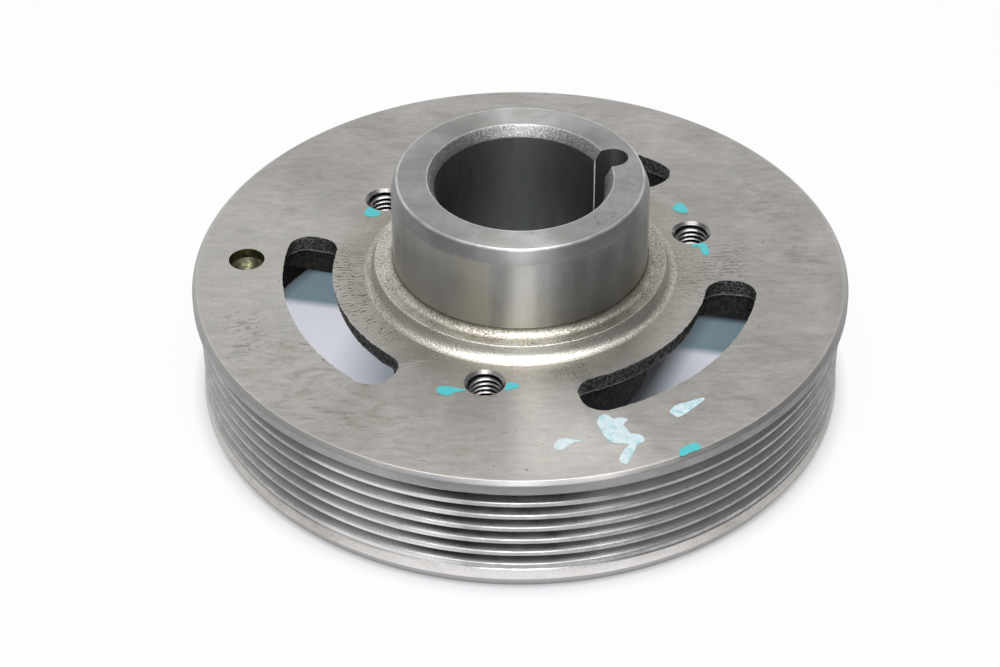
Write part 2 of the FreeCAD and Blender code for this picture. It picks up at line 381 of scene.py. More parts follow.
def layHubIron(iron, look):
    radius, height = iron.radius, iron.height
    clouds = iron.lumps("clouds")
    iron.base(clouds)
    # painted reflections: streaks and bands down the wall, and warmer towards the foot as a painted reflection of
    # the browned foot
    streaks = iron.rings(0.22, iron.angle, 4.0)
    onWall = iron.times(iron.spread(radius, 29.6, 29.9), 0.5)
    iron.shadeBy(onWall, streaks, (0.25, 0.24, 0.22), (0.75, 0.76, 0.78))
    iron.over("warm", iron.spread(height, 50.0, 38.0), iron.lift(clouds, 0.5, 1.0), 0.62)
    below = iron.spread(height, 55.2, 54.6)
    for middle, half, tone, strength in look["reflectionBands"]:
        iron.over(tone, iron.patch(middle, half, 20.0, 40.0, 1.0), below, strength)
    # outer chamfer
    iron.over("dull", iron.spread(height, 55.1, 55.5), iron.spread(radius, 28.65, 28.85), 0.45)
    rings = iron.rings(look["ringSize"])
    iron.shadeBy(0.12, rings)
    iron.over("nick", iron.lumps("nicks"), 0.5)
    # bright edges of the end face, worn and painted as highlights, and its dark scuffs
    onTop = iron.spread(height, 58.0, 58.3)
    innerEdge, outerEdge = iron.band(radius, 21.3, 21.5, 21.75, 21.9), iron.band(radius, 28.3, 28.5, 28.85, 29.0)
    edges = iron.times(iron.calc("ADD", outerEdge, innerEdge), onTop, iron.spread(streaks, 0.35, 0.6, 0.4, 1.0))
    iron.over("edge", edges, 0.65)
    scuffs = iron.times(iron.patches("scuffs", 0.8), iron.lumps("scuffed"))
    iron.over("scuff", scuffs, onTop, 0.7)
    # the bore's chamfer is pitted, the rest almost smooth
    pitted = iron.times(iron.spread(height, 55.7, 56.1), iron.spread(radius, 21.8, 21.5))
    sand = iron.grain(look["sandSize"], 3.0, 0.7)
    iron.over(iron.mix(iron.spread(sand, 0.35, 0.65), "pit", "sand"), pitted, 0.8)
    iron.relief(rings, 0.003)
    iron.relief(iron.times(sand, iron.lift(pitted, 0.05, 1.0)), 0.12)
    gloss = iron.spread(iron.grain(5.0), 0.3, 0.7, *look["gloss"])
    return iron.done(gloss, brushed=0.85)


# Seat and fillets round the hub's foot: browned, with a sandy grain

footLook = {
    "light": (0.66, 0.64, 0.585), "shade": (0.155, 0.13, 0.075), "frontHighlight": (0.74, 0.72, 0.675),
    "grime": (0.10, 0.09, 0.06), "edge": (0.43, 0.415, 0.375), "dirty": (0.27, 0.25, 0.20),
    "clean": (0.54, 0.525, 0.49), "cornerShade": (0.05, 0.04, 0.025), "worn": (0.72, 0.71, 0.68),
    "gloss": (0.24, 0.44),
    "noise": {"sand": (0.38, 0.62, 0.5, 3.0, 0.7), "clouds": (0.35, 0.65, 6.0, 3.0, 0.6, None, 4.0)},
}


def layFootIron(iron, look):
    radius = iron.radius
    sand = iron.lumps("sand")
    iron.colour = iron.mix(iron.times(sand, iron.lift(iron.lumps("clouds"), 0.45, 1.0)), "light", "shade")
    # slope outside the seat, with a painted highlight where it faces the front
    slope = iron.times(iron.spread(radius, 34.6, 34.9), iron.spread(radius, 35.6, 37.6, 1.0, 0.1))
    facing = iron.spread(iron.cosine(-90.0), 0.6, 0.95)
    iron.over(iron.mix(facing, iron.mix(sand, "clean", "dirty"), "frontHighlight"), slope, 0.9)
    # its outer part takes the web's tone, less where the painted highlight is
    outer = iron.times(iron.spread(radius, 36.0, 37.2), iron.lift(facing, 0.9, 0.1))
    iron.over(iron.mix(sand, "edge", "dirty"), outer)
    # grime on the right of the seat, painted shade in the corner with the hub, and the seat's worn edge
    iron.over("grime", iron.patch(-18, 62, 20, 34.5, 0.3), 0.42)
    iron.over("cornerShade", iron.spread(iron.height, 36.3, 37.4), iron.spread(radius, 31.2, 30.6), 0.85)
    iron.over("worn", iron.band(radius, 34.2, 34.4, 34.7, 34.9), 0.7)
    iron.relief(iron.rings(0.3), 0.004)
    iron.relief(sand, 0.035)
    return iron.done(iron.gloss(sand), brushed=0.5)


# Grooved rim: freshly turned and bright on the ridges, with painted shade down the grooves

rimLook = {
    "light": (0.54, 0.53, 0.54), "shade": (0.40, 0.395, 0.395), "flange": (0.36, 0.35, 0.35),
    "chamfer": (0.50, 0.485, 0.47), "speck": (0.2, 0.19, 0.18), "dust": (0.20, 0.19, 0.185),
    # flank and root are painted shade in the grooves, and the next tone a painted highlight on the ridges
    "flank": (0.46, 0.45, 0.465), "root": (0.36, 0.35, 0.36), "paintedHighlight": (0.86, 0.85, 0.84),
    # deeper painted shade in the grooves at the front
    "shadedFlank": (0.17, 0.165, 0.17), "shadedRoot": (0.11, 0.108, 0.11),
    # angle where the painted shade is deepest, and the patch of the painted highlight
    "gloss": (0.36, 0.26), "ringSize": 0.22, "frontShadeAngle": -94.5, "highlightPatch": (-114, 15, 60, 90),
    "noise": {"clouds": (0.36, 0.64, 5.0, 4.0, 0.65), "specks": (0.66, 0.76, 0.8, 2.0, 0.5, None, 2.0),
              "dust": (0.42, 0.66, 0.55, 4.0, 0.75, None, 8.0)},
}


def layRimIron(iron, look):
    radius, height = iron.radius, iron.height
    # painted shade darkens the grooves down to the roots, most of all at the front
    frontShade = iron.spread(iron.cosine(look["frontShadeAngle"]), 0.95, 0.985)
    awayFromFrontShade = iron.lift(frontShade, 1.0, 0.15)
    clouds = iron.lumps("clouds")
    iron.base(clouds)
    rings = iron.rings(look["ringSize"])
    iron.shadeBy(0.15, rings)
    iron.over("speck", iron.lumps("specks"), awayFromFrontShade, 0.35)
    dust = iron.lumps("dust")
    dust = iron.times(dust, iron.spread(iron.grain(22.0, 2.0, offset=5.0), 0.42, 0.6, 0.22, 0.42), awayFromFrontShade)
    iron.over("dust", dust)
    # a painted highlight in a patch left of the front, on the ridges and less on the flanks
    paintedHighlight = iron.patch(*look["highlightPatch"])
    iron.over("paintedHighlight", paintedHighlight, 0.85)
    # thin flange and its chamfer: the chamfer painted lighter as a painted highlight away from the front, the
    # flange painted darker at the front as painted shade
    onFlange = iron.spread(height, 28.6, 28.9)
    iron.over("flange", onFlange, 0.85)
    iron.over("chamfer", iron.spread(height, 31.1, 31.3), iron.times(awayFromFrontShade, 0.75))
    iron.over("shadedRoot", iron.spread(height, 28.8, 31.2, 0.25, 0.55), onFlange, frontShade)
    # sides and roots of the grooves, painted darker as painted shade, darkest at the front
    grooved = iron.spread(height, 5.9, 6.1)
    flank = iron.times(iron.spread(radius, 75.88, 75.7), grooved, iron.lift(paintedHighlight, 1.0, 0.6))
    iron.over(iron.mix(frontShade, "flank", "shadedFlank"), flank)
    iron.over(iron.mix(frontShade, "root", "shadedRoot"), iron.times(iron.spread(radius, 75.6, 74.0), grooved))
    iron.over("dust", dust, 0.6)
    gloss = iron.calc("ADD", iron.gloss(clouds), iron.times(onFlange, 0.1))
    iron.relief(rings, 0.004)
    return iron.done(gloss, brushed=0.8)


# Broad flange at the open side: duller, with brown stains, painted shade towards the sides and a painted highlight
# at the front

skirtLook = {
    "light": (0.82, 0.80, 0.79), "shade": (0.66, 0.635, 0.59), "stain": (0.38, 0.36, 0.32),
    "corner": (0.42, 0.405, 0.405), "sand": (0.22, 0.2, 0.17), "gloss": (0.20, 0.32),
    "noise": {"clouds": (0.45, 0.66, 7.0, 5.0, 0.65, (1.0, 1.0, 2.5)), "sand": (0.5, 0.7, 0.5, 3.0, 0.7)},
}


def laySkirtIron(iron, look):
    # painted highlight at the front; brown stains and painted shade towards both sides
    sideways = iron.spread(iron.cosine(-90.0), 0.80, 0.95, 0.6, 0.0)
    clouds = iron.times(iron.lumps("clouds"), iron.spread(sideways, 0.0, 0.6, 0.35, 1.0))
    iron.colour = iron.mix(clouds, "light", "shade")
    iron.shadeBy(0.3, iron.rings(0.35))
    # painted shade on the lower corner, which turns under
    iron.over("corner", iron.spread(iron.height, 3.1, 2.9))
    sand = iron.lumps("sand")
    iron.over("sand", sand, iron.spread(sideways, 0.0, 0.6, 0.12, 0.5))
    iron.over("stain", sideways)
    iron.relief(iron.rings(0.3), 0.005)
    iron.relief(sand, -0.012)
    return iron.done(iron.gloss(clouds), brushed=0.7)


# Bore and keyway: darker cut metal

keyway = {"width": 7.0, "reach": 26.5, "angle": 19.5}
boreLook = {
    "light": (0.33, 0.345, 0.345), "shade": (0.22, 0.225, 0.22), "corner": (0.95, 0.95, 0.95),
    "gloss": (0.44, 0.34), "noise": {"clouds": (0.38, 0.62, 5.0, 4.0, 0.6, (1.0, 1.0, 0.25))},
}


def layBoreIron(iron, look):
    clouds = iron.lumps("clouds")
    iron.base(clouds)
    # painted highlight on the corners where the keyway meets the bore
    across = iron.calc("ABSOLUTE", iron.dot(iron.place, polar(1.0, keyway["angle"] + 90.0)))
    right = iron.dot(iron.place, polar(1.0, keyway["angle"]))
    corner = iron.times(iron.band(across, 3.3, 3.4, 3.65, 3.75), iron.spread(iron.radius, 20.3, 20.15),
                        iron.spread(right, 0.0, 1.0))
    iron.over("corner", corner, 0.9)
    gloss = iron.calc("ADD", iron.gloss(clouds), iron.times(corner, 0.4))
    iron.relief(iron.rings(0.2, iron.height), 0.003)
    return iron.done(gloss, brushed=0.6)


# Casting skin in the slots, in the hollow and under the web: black and pebbled

skinLook = {
    "light": (0.085, 0.083, 0.08), "shade": (0.018, 0.018, 0.018), "gloss": (0.35, 0.7), "pebble": 0.55,
    "noise": {"clouds": (0.4, 0.68, 0.9, 5.0, 0.7)},
}


def layCastSkin(skin, look):
    inputs = {"Vector": skin.place, "Scale": 1 / look["pebble"], "Randomness": 1.0}
    pebbles = skin.add("ShaderNodeTexVoronoi", inputs, feature="SMOOTH_F1").outputs["Distance"]
    skin.base(skin.lumps("clouds"))
    skin.relief(skin.grain(2.2, 3.0, 0.6, offset=6.0), 0.20)
    skin.relief(pebbles, -0.22)
    return skin.done(skin.spread(skin.grain(0.6, 2.0, offset=4.0), 0.35, 0.65, *look["gloss"]), metallic=0.35)


# Slot walls through the web: the same skin, painted lighter as painted light and sparkling with painted glints,
# with a painted reflection along the lower edge

wallLook = {
    "light": (0.42, 0.41, 0.395), "shade": (0.05, 0.049, 0.047), "edge": (0.70, 0.69, 0.68),
    "gloss": (0.5, 0.26), "pebble": 0.6, "noise": {"burr": (0.48, 0.58, 0.7, 3.0, 0.7)},
}


def laySlotWall(wall, look):
    crumbs = wall.grain(look["pebble"], 3.0, 0.7)
    wall.base(wall.spread(crumbs, 0.44, 0.62))
    # broken burr at the upper edge painted bright as glints, and a painted reflection along the lower edge on a
    # wavering line
    wall.over("edge", wall.spread(wall.height, 31.2, 31.7), wall.lumps("burr"), 0.9)
    low = wall.calc("ADD", wall.height, wall.times(wall.grain(1.5, 2.0, offset=5.0), 0.5))
    wall.over("edge", wall.band(low, 26.75, 26.95, 27.55, 27.75))
    wall.relief(wall.grain(2.2, 3.0, 0.6, offset=6.0), 0.20)
    wall.relief(crumbs, 0.22)
    return wall.done(wall.spread(crumbs, 0.35, 0.65, *look["gloss"]), metallic=0.8)


# Drilled and tapped holes

taps = {"count": 3, "circle": 43.7, "firstAngle": 19.5, "major": 4.0, "minor": 3.4, "sink": 4.7, "pitch": 1.25}
drilledLook = {
    "light": (0.15, 0.145, 0.08), "shade": (0.05, 0.05, 0.03), "gloss": (0.4, 0.25),
    "noise": {"stain": (0.4, 0.62, 1.6, 4.0, 0.6)},
}
threadLook = {
    # root is painted shade between the thread's turns
    "light": (0.40, 0.39, 0.385), "shade": (0.27, 0.26, 0.26), "root": (0.03, 0.03, 0.03), "gloss": (0.34, 0.24),
    "noise": {"clouds": (0.36, 0.64, 1.5, 3.0, 0.6)},
}


def layDrilledIron(iron, look):
    # the drilled metal is painted dark as painted shade inside the hole
    stain = iron.lumps("stain")
    iron.base(stain)
    iron.relief(iron.grain(0.5), 0.03)
    return iron.done(iron.gloss(stain), metallic=0.8)


def layThreadIron(iron, look):
    clouds = iron.lumps("clouds")
    iron.base(clouds)
    # painted shade between the turns: distance from the nearest hole's axis
    distance = 100.0
    for index in range(taps["count"]):
        axis = polar(taps["circle"], taps["firstAngle"] + 360 * index / taps["count"])
        distance = iron.calc("MINIMUM", iron.roundBore(iron.apartFrom(axis))[0], distance)
    iron.over("root", iron.spread(distance, 3.5, 3.85), iron.spread(iron.height, 31.35, 31.2))
    iron.relief(iron.grain(0.3, 2.0), 0.006)
    return iron.done(iron.gloss(clouds))


finishes = {}
for name, lay, look in (
        ("faceIron", layFaceIron, faceLook), ("hubIron", layHubIron, hubLook), ("footIron", layFootIron, footLook),
        ("rimIron", layRimIron, rimLook), ("skirtIron", laySkirtIron, skirtLook),
        ("boreIron", layBoreIron, boreLook), ("castSkin", layCastSkin, skinLook),
        ("slotWall", laySlotWall, wallLook), ("drilledIron", layDrilledIron, drilledLook),
        ("threadIron", layThreadIron, threadLook)):
    finishes[name] = lay(Finish(name, look), look)
finishNames = list(finishes)
print("finishes mixed")


# Turned body

rim = {
    "height": 32.0, "ridgeRadius": 76.0, "pitch": 3.56, "grooves": 6, "grooveAngle": 40.0,
    "ridgeFlat": 1.1, "rootFlat": 0.5, "firstGroove": 5.9, "wall": 5.6, "draft": 0.8,
    "flangeOverhang": 1.5, "flangeHeight": 3.0, "flangeChamfer": 0.9,
    "lowerLand": 1.2, "lineDepth": 0.3, "lineHeight": 0.5, "bulge": 0.4, "slopeHeight": 1.4,
    "mouthDrop": 2.4, "mouthInset": 1.5, "mouthEdge": 0.8, "crestRound": 0.5, "rootRound": 0.25,
}
hub = {
    "boreRadius": 20.0, "boreChamfer": (1.6, 2.7), "rearChamfer": 1.0, "radius": 30.0, "rise": 26.6,
    "topChamfer": (1.3, 3.3), "footFillet": 2.2, "seatRadius": 34.4, "seatRise": 3.5, "seatSlope": 0.4,
    "seatFillet": 2.5, "rearRadius": 31.0, "rearDraft": 0.7, "setback": 4.0, "rearFillet": 6.0,
}
web = {"slotThickness": 5.0, "spokeThickness": 11.0, "rimFillet": 5.0}
turning = {"segments": 240, "skinStep": 1.6, "skinDepth": 0.13, "skinSize": 2.6, "sharpAngle": 34.0}

faceZ = rim["height"]
hubTopZ = faceZ + hub["rise"]
spokeZ = faceZ - web["spokeThickness"]
webZ = faceZ - web["slotThickness"]


def bodyCorners():
    # (radius, height, rounding, finish of the face that follows), once round the section
    slant = (rim["pitch"] - rim["ridgeFlat"] - rim["rootFlat"]) / 2
    root = rim["ridgeRadius"] - slant / math.tan(math.radians(rim["grooveAngle"] / 2))
    inside = root - rim["wall"]
    mouth = inside + rim["draft"]
    flange = rim["ridgeRadius"] + rim["flangeOverhang"]
    bulge = rim["ridgeRadius"] + rim["bulge"]
    bore = hub["boreRadius"]
    footZ = faceZ + hub["seatRise"]
    corners = [
        (bore + hub["rearChamfer"], hub["setback"], 0.12, "boreIron"),
        (bore, hub["setback"] + hub["rearChamfer"], 0.12, "boreIron"),
        (bore, hubTopZ - hub["boreChamfer"][1], 0.15, "hubIron"),
        (bore + hub["boreChamfer"][0], hubTopZ, 0.15, "hubIron"),
        (hub["radius"] - hub["topChamfer"][0], hubTopZ, 0.3, "hubIron"),
        (hub["radius"], hubTopZ - hub["topChamfer"][1], 0.5, "hubIron"),
        (hub["radius"], footZ, hub["footFillet"], "footIron"),
        (hub["seatRadius"], footZ, 0.2, "footIron"),
        (hub["seatRadius"] + hub["seatSlope"] + 0.1, faceZ, hub["seatFillet"], "faceIron"),
        (flange - rim["flangeChamfer"], faceZ, 0.45, "rimIron"),
        (flange, faceZ - rim["flangeChamfer"], 0.45, "rimIron"),
        (flange, faceZ - rim["flangeHeight"], 0.2, "rimIron"),
    ]
    ridge = (rim["ridgeRadius"], (rim["pitch"] - rim["ridgeFlat"]) / 2, rim["crestRound"])
    valley = (root, rim["rootFlat"] / 2, rim["rootRound"])
    for index in range(rim["grooves"]):
        centre = faceZ - rim["firstGroove"] - index * rim["pitch"]
        for side, (radius, half, rounding) in ((1, ridge), (1, valley), (-1, valley), (-1, ridge)):
            corners.append((radius, centre + side * half, rounding, "rimIron"))
    landEnd = corners[-1][1] - rim["lowerLand"]
    slopeStart = landEnd - rim["lineHeight"]
    corners += [
        (rim["ridgeRadius"], landEnd, 0.08, "rimIron"),
        (rim["ridgeRadius"] - rim["lineDepth"], landEnd - rim["lineHeight"] / 2, 0.05, "rimIron"),
        (rim["ridgeRadius"], slopeStart, 0.08, "skirtIron"),
        (bulge, slopeStart - rim["slopeHeight"], 0.8, "skirtIron"),
        (bulge, rim["mouthDrop"], 0.4, "skirtIron"),
        (bulge - rim["mouthInset"], 0.0, 0.15, "rimIron"),
        (mouth + rim["mouthEdge"], 0.0, 0.1, "rimIron"),
        (mouth, rim["mouthEdge"], 0.3, "castSkin"),
        (inside, spokeZ, web["rimFillet"], "castSkin"),
        (hub["rearRadius"] + hub["rearDraft"], spokeZ, hub["rearFillet"], "castSkin"),
        (hub["rearRadius"], hub["setback"] + hub["rearChamfer"], 0.2, "rimIron"),
        (hub["rearRadius"] - hub["rearChamfer"], hub["setback"], 0.12, "rimIron"),
    ]
    return corners


def roundedSection(corners):
    # every corner becomes a short arc, and long faces of casting skin get steps for their unevenness
    points, zones = [], []
    count = len(corners)
    footEnd = hub["seatRadius"] + hub["seatSlope"] + hub["seatFillet"] - 0.01
    footTopZ = faceZ + hub["seatRise"] + hub["footFillet"]
    for index, (radius, height, rounding, zone) in enumerate(corners):
        here = Vector((radius, height))
        before = (Vector(corners[index - 1][:2]) - here).normalized()
        after = (Vector(corners[(index + 1) % count][:2]) - here).normalized()
        opening = before.angle(after)
        reach = rounding / math.tan(opening / 2)
        centre = here + (before + after).normalized() * (rounding / math.sin(opening / 2))
        start, end = here + before * reach, here + after * reach
        turned = math.pi - opening
        arcStep = 9.0 if rounding > 1.5 else 15.0 if rounding > 0.3 else 30.0
        steps = max(2, math.ceil(math.degrees(turned) / arcStep))
        first = start - centre
        swing = first.angle_signed(end - centre)
        for step in range(steps + 1):
            share = step / steps
            turn = -swing * share
            place = centre + turnedBy(first, turn).to_2d()
            onFoot = hub["radius"] < place.x < footEnd and faceZ <= place.y < footTopZ
            points.append(place)
            zones.append("footIron" if onFoot else zone if share >= 0.5 else corners[index - 1][3])
    stepped, steppedZones = [], []
    for index, (point, zone) in enumerate(zip(points, zones)):
        following = points[(index + 1) % len(points)]
        stepped.append(point)
        steppedZones.append(zone)
        if zone == "castSkin":
            pieces = math.ceil((following - point).length / turning["skinStep"])
            for piece in range(1, pieces):
                stepped.append(point.lerp(following, piece / pieces))
                steppedZones.append(zone)
    return stepped, steppedZones


def turnedTree(values):
    # sweeps the section round the bore's axis
    nodes, given = startTree("turnOnLathe", values)
    circle = {"Resolution": given["Segments"], "Radius": given["Path radius"]}
    path = nodes.add("GeometryNodeCurvePrimitiveCircle", circle)
    swept = nodes.add("GeometryNodeCurveToMesh", {"Curve": path, "Profile Curve": given["Geometry"]})
    return endTree(nodes, swept, given["Finish"])


def crust(point, size):
    # casting unevenness, about -1 to 1
    return noise.fractal(point / size, 0.9, 2.1, 4) * 1.2


def makeTurnedBody():
    pathRadius = 50.0
    points, zones = roundedSection(bodyCorners())
    curve = bpy.data.curves.new("section", "CURVE")
    curve.dimensions = "3D"
    spline = curve.splines.new("POLY")
    spline.points.add(len(points) - 1)
    for slot, point in zip(spline.points, points):
        slot.co = ((point.x - pathRadius) * mm, -point.y * mm, 0.0, 1.0)
    spline.use_cyclic_u = True
    section = makeObject("section", curve)
    values = {"Segments": turning["segments"], "Path radius": pathRadius * mm, "Finish": finishes["rimIron"]}
    mesh = runTree(section, turnedTree(values), values)
    dropObject(section)
    mesh.materials.clear()
    for name in finishNames:
        mesh.materials.append(finishes[name])
    total = len(points)
    for face in mesh.polygons:
        face.material_index = finishNames.index(zones[face.index % total])
    # casting skin swells and sinks a little, away from its borders with turned faces
    skin = [zone == "castSkin" for zone in zones]
    inSkin = [skin[index] and skin[index - 1] for index in range(total)]
    recalcNormals(mesh)
    normals = [vertex.normal.copy() for vertex in mesh.vertices]
    for vertex, normal in zip(mesh.vertices, normals):
        if inSkin[vertex.index % total]:
            vertex.co += normal * crust(vertex.co / mm, turning["skinSize"]) * turning["skinDepth"] * mm
    return mesh


body = makeObject("pulleyCasting", makeTurnedBody())
print("body turned:", len(body.data.polygons), "faces")


# Cutters; keyway and taps have their sizes beside their finishes

# how far cutters stand out of the metal, sides of the round ones, and lengths closed up after the cut
cutting = {"clear": 1.0, "sides": 64, "joinWithin": 0.002, "dropUnder": 0.001}
slots = {
    "count": 3, "firstAngle": 80.0, "outer": 56.2, "width": 11.8, "span": 69.0, "corner": 5.0, "draft": 0.9,
    "pocketInner": 38.0, "pocketOuter": 64.0, "pocketCorners": (11.0, 6.0), "ledge": 0.4,
    "roughness": 0.13, "roughSize": 0.85, "levelStep": 0.5, "edgeRound": 0.5,
    "cornerSteps": 12, "outerSteps": 100, "innerSteps": 80, "pocketSteps": 9,
}
balance = {"radius": 65.2, "angle": 176.8, "hole": 4.25, "depth": 2.6, "point": 118.0}


def tubeMesh(name, loops, finish, lowerFinish=None, change=0):
    # a closed skin through loops of equal count, capped at both ends, with another finish from loop "change" on
    count = len(loops[0])
    vertices = [(point * mm) for loop in loops for point in loop]
    faces = []
    for level in range(len(loops) - 1):
        for index in range(count):
            a = level * count + index
            b = level * count + (index + 1) % count
            faces.append((a, b, b + count, a + count))
    faces.append(tuple(range(count)))
    faces.append(tuple((len(loops) - 1) * count + index for index in range(count)))
    mesh = bpy.data.meshes.new(name)
    mesh.from_pydata(vertices, [], faces)
    mesh.materials.append(finish)
    if lowerFinish:
        mesh.materials.append(lowerFinish)
        for face in mesh.polygons:
            face.material_index = int(face.index >= change * count)
    recalcNormals(mesh)
    return mesh


def kidneyLoop(inner, outer, halfSpan, innerCorner, outerCorner, middle):
    # outline of a curved slot with the same number of points whatever its sizes
    def corner(side, ring, radius, sign):
        reach = ring + sign * radius
        lean = math.degrees(math.asin(radius / reach))
        endAngle = middle + side * halfSpan
        centreAngle = endAngle - side * lean
        centre = polar(reach, centreAngle)
        onRing = polar(ring, centreAngle)
        onEnd = polar(math.sqrt(reach ** 2 - radius ** 2), endAngle)
        first, last = onRing - centre, onEnd - centre
        swing = first.to_2d().angle_signed(last.to_2d())
        steps = slots["cornerSteps"]
        return [centre + turnedBy(first, -swing * step / steps) for step in range(steps + 1)], centreAngle

    def arc(ring, start, end, steps):
        return [polar(ring, start + (end - start) * step / steps) for step in range(1, steps)]

    outerLeft, outerLeftAngle = corner(1, outer, outerCorner, -1)
    outerRight, outerRightAngle = corner(-1, outer, outerCorner, -1)
    innerLeft, innerLeftAngle = corner(1, inner, innerCorner, 1)
    innerRight, innerRightAngle = corner(-1, inner, innerCorner, 1)
    outerArc = arc(outer, outerRightAngle, outerLeftAngle, slots["outerSteps"])
    innerArc = arc(inner, innerLeftAngle, innerRightAngle, slots["innerSteps"])
    endLeft = [outerLeft[-1].lerp(innerLeft[-1], third / 3) for third in (1, 2)]
    endRight = [innerRight[-1].lerp(outerRight[-1], third / 3) for third in (1, 2)]
    return outerArc + outerLeft + endLeft + innerLeft[::-1] + innerArc + innerRight + endRight + outerRight[::-1]


def atHeight(loop, height):
    return [Vector((point.x, point.y, height)) for point in loop]


def slotCutter(middle):
    # the slot through the web, then the pocket that thins the web between two spokes
    def halfSpan(widen):
        return slots["span"] / 2 + math.degrees(widen / slots["outer"])

    def throat(height):
        widen = slots["draft"] * (faceZ - height) / web["slotThickness"]
        return kidneyLoop(slots["outer"] - slots["width"] - widen, slots["outer"] + widen, halfSpan(widen),
                          slots["corner"], slots["corner"], middle)

    pocket = kidneyLoop(slots["pocketInner"], slots["pocketOuter"], halfSpan(slots["draft"] + slots["ledge"]),
                        *slots["pocketCorners"], middle)
    loops = []
    height = faceZ + cutting["clear"]
    while height > webZ + slots["edgeRound"]:
        loops.append(atHeight(throat(height), height))
        height -= slots["levelStep"]
    lower = throat(webZ)
    rounding = slots["edgeRound"]
    for share in (0.0, 0.35, 0.7, 1.0):
        # the lower edge of the web is rounded
        turn = share * math.pi / 2
        outward = rounding * (1 - math.cos(turn))
        drop = rounding * (1 - math.sin(turn))
        part = [a.lerp(b, min(0.4, outward / max((b - a).length, 0.5))) for a, b in zip(lower, pocket)]
        loops.append(atHeight(part, webZ + drop))
    edge = loops[-1]
    wallLevels = len(loops) - 1
    for share in (0.25, 0.5, 0.75):
        loops.append(atHeight([a.lerp(b, share) for a, b in zip(edge, atHeight(pocket, webZ))], webZ))
    loops.append(atHeight(pocket, webZ))
    bottom = spokeZ - web["rimFillet"] - cutting["clear"]
    for step in range(1, slots["pocketSteps"] + 1):
        loops.append(atHeight(pocket, webZ + (bottom - webZ) * step / slots["pocketSteps"]))
    mesh = tubeMesh("slotCutter", loops, finishes["slotWall"], finishes["castSkin"], wallLevels)
    normals = [vertex.normal.copy() for vertex in mesh.vertices]
    top = (faceZ + 0.9) * mm
    for vertex, normal in zip(mesh.vertices, normals):
        if bottom * mm + 1e-6 < vertex.co.z < top:
            place = vertex.co / mm
            bumps = crust(place, slots["roughSize"]) + 0.6 * crust(place + Vector((9, 9, 9)), 3.0)
            vertex.co += normal * bumps * slots["roughness"] * mm
    return mesh


def roundCutter(name, centre, levels, finish):
    # a cutter turned round its own axis through (radius, height) levels
    sides = cutting["sides"]
    loops = [[centre + polar(radius, 360 * index / sides, height) for index in range(sides)]
             for radius, height in levels]
    return tubeMesh(name, loops, finishes[finish])


def keywayCutter():
    half = keyway["width"] / 2
    centre = keyway["reach"] - half
    outline = [Vector((10.0, half, 0)), Vector((10.0, -half, 0)), Vector((centre * 0.9, -half, 0))]
    outline += [Vector((centre, 0, 0)) + polar(half, -90 + 180 * step / 24) for step in range(25)]
    outline.append(Vector((centre * 0.9, half, 0)))
    turned = [turnedBy(point, math.radians(keyway["angle"])) for point in outline]
    ends = hubTopZ + cutting["clear"], hub["setback"] - cutting["clear"]
    return tubeMesh("keywayCutter", [atHeight(turned, end) for end in ends], finishes["boreIron"])


def tapCutter(angle):
    centre = polar(taps["circle"], angle)
    sinkEnd = faceZ - (taps["sink"] - taps["major"])
    clear = cutting["clear"]
    levels = [(taps["sink"] + clear, faceZ + clear), (taps["major"], sinkEnd), (taps["major"], spokeZ - 2 * clear)]
    return roundCutter("tapCutter", centre, levels, "threadIron")


def balanceCutter():
    centre = polar(balance["radius"], balance["angle"])
    shoulder = faceZ - balance["depth"]
    pointHeight = balance["hole"] / math.tan(math.radians(balance["point"] / 2))
    levels = [(balance["hole"], faceZ + cutting["clear"]), (balance["hole"], shoulder + 0.15),
              (balance["hole"] - 0.15, shoulder - 0.05), (0.05, shoulder - pointHeight)]
    return roundCutter("balanceCutter", centre, levels, "drilledIron")


cutterBin = bpy.data.collections.new("cutters")
scene.collection.children.link(cutterBin)


def addCutter(mesh):
    cutter = bpy.data.objects.new(mesh.name, mesh)
    cutterBin.objects.link(cutter)


for index in range(slots["count"]):
    addCutter(slotCutter(slots["firstAngle"] + index * 360 / slots["count"]))
for index in range(taps["count"]):
    addCutter(tapCutter(taps["firstAngle"] + index * 360 / taps["count"]))
addCutter(keywayCutter())
addCutter(balanceCutter())

cut = body.modifiers.new("cutAway", "BOOLEAN")
cut.operation = "DIFFERENCE"
cut.operand_type = "COLLECTION"
cut.collection = cutterBin
cut.solver = "EXACT"
cut.material_mode = "TRANSFER"
machined = evaluatedMesh(body)
body.modifiers.remove(cut)
uncut = body.data
body.data = machined
bpy.data.meshes.remove(uncut)
for cutter in list(cutterBin.objects):
    dropObject(cutter)
bpy.data.collections.remove(cutterBin)
machined.name = "pulleyCasting"


def closeUp(mesh):
    # joins doubles, then says how many edges are not shared by two faces
    work = bmesh.new()
    work.from_mesh(mesh)
    bmesh.ops.remove_doubles(work, verts=work.verts, dist=cutting["joinWithin"] * mm)
    bmesh.ops.dissolve_degenerate(work, edges=work.edges, dist=cutting["dropUnder"] * mm)
    openEdges = sum(1 for edge in work.edges if not edge.is_manifold)
    work.to_mesh(mesh)
    work.free()
    smoothMesh(mesh, turning["sharpAngle"])
    mesh.calc_loop_triangles()
    print(mesh.name, "has", len(mesh.loop_triangles), "triangles and", openEdges, "open edges")


closeUp(machined)
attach(body, "root")
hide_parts("pulley")
print("slots, keyway and holes cut")


# Thread turns in the three tapped holes

threadCut = {
    "turns": 7.6, "stepsPerTurn": 36, "sunk": 0.35, "extraDepth": 0.1, "sharpAngle": 40,
    # where along the ridge it starts to run out, and how much of it is left at the top
    "runOut": 0.88, "left": 0.15,
    # widths as shares of the pitch, and the shift inwards as a share of the depth
    "foot": 0.96, "crest": 0.2, "inwards": 0.42,
}


